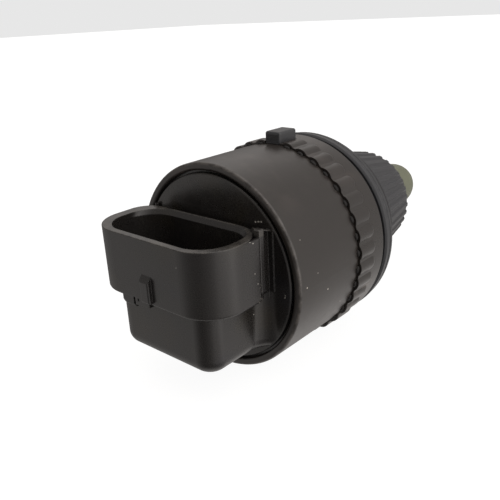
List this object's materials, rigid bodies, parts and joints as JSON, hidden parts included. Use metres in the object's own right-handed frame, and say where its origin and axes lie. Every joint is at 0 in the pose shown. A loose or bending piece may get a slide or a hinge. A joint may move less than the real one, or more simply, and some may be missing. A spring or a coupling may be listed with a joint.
{
  "type": "idle air control valve",
  "caption": "Round stepper-driven idle air valve: black can with rear plug socket, fluted collar with locating key, sealing flange, ribbed conical nose and sliding olive pintle.",
  "frame": {"origin": "on the valve's axis, at the plane where the spigot starts and the seat gasket seals", "axes": "+Y along the valve's axis out of the nose; +Z the way the plug is pulled off the socket, and the side the locating key is on; +X along the socket's long side"},
  "size_m": [0.0364, 0.0797, 0.0378],
  "materials": {
    "can_paint": "dark grey-brown coating, satin, light handling marks",
    "black_moulding": "black glass-filled plastic, satin, slightly dusty",
    "nose_moulding": "black glass-filled plastic, matt",
    "seal_rubber": "black rubber",
    "plate_steel": "stamped steel, zinc plated",
    "bobbin_plastic": "natural plastic",
    "winding": "enamelled copper wire",
    "bronze": "sintered bronze",
    "bearing_steel": "ground bearing steel",
    "cage_brass": "pressed brass",
    "hub_plastic": "self-lubricating plastic",
    "ferrite": "pressed ferrite, matt",
    "screw_steel": "bright steel",
    "pintle_plastic": "olive-grey plastic, smooth",
    "tinned_brass": "tin-plated brass"
  },
  "bodies": {
    "housing": {"motor_can": "can_paint", "connector_cap": "black_moulding", "terminal_pin_1": "tinned_brass", "terminal_pin_2": "tinned_brass", "terminal_pin_3": "tinned_brass", "terminal_pin_4": "tinned_brass", "cap_seal": "seal_rubber", "collar_ring": "can_paint", "nose_housing": "nose_moulding", "body_seal": "seal_rubber", "seat_gasket": "seal_rubber", "stator_plate_1": "plate_steel", "stator_plate_2": "plate_steel", "stator_plate_3": "plate_steel", "stator_plate_4": "plate_steel", "bobbin_a": "bobbin_plastic", "bobbin_b": "bobbin_plastic", "coil_a": "winding", "coil_b": "winding", "rear_bush": "bronze", "preload_washer": "plate_steel", "bearing_outer_race": "bearing_steel", "spring_seat": "plate_steel", "guide_bush": "hub_plastic", "pintle_spring": "screw_steel"},
    "rotor": {"rotor_hub": "hub_plastic", "rotor_magnet": "ferrite", "bearing_inner_race": "bearing_steel"},
    "ball_set": {"bearing_balls": "bearing_steel", "bearing_cage": "cage_brass"},
    "pintle": {"lead_screw": "screw_steel", "pintle_head": "pintle_plastic"}
  },
  "joints": [
    {"name": "rotor_spin", "type": "hinge", "parent": "housing", "child": "rotor", "pos_m": [0, 0, 0], "axis": [0, 1, 0], "range_deg": [-360, 3240]},
    {"name": "ball_spin", "type": "hinge", "parent": "housing", "child": "ball_set", "pos_m": [0, 0, 0], "axis": [0, 1, 0], "range_deg": [-143, 1283]},
    {"name": "pintle_slide", "type": "slide", "parent": "housing", "child": "pintle", "axis": [0, 1, 0], "range_m": [-0.0072, 0.0008], "deforming": ["pintle_spring"]}
  ],
  "couplings": [
    {"joint": "rotor_spin", "follows": "pintle_slide", "rad_per_m": -7854},
    {"joint": "ball_spin", "follows": "pintle_slide", "rad_per_m": -3107.8}
  ]
}
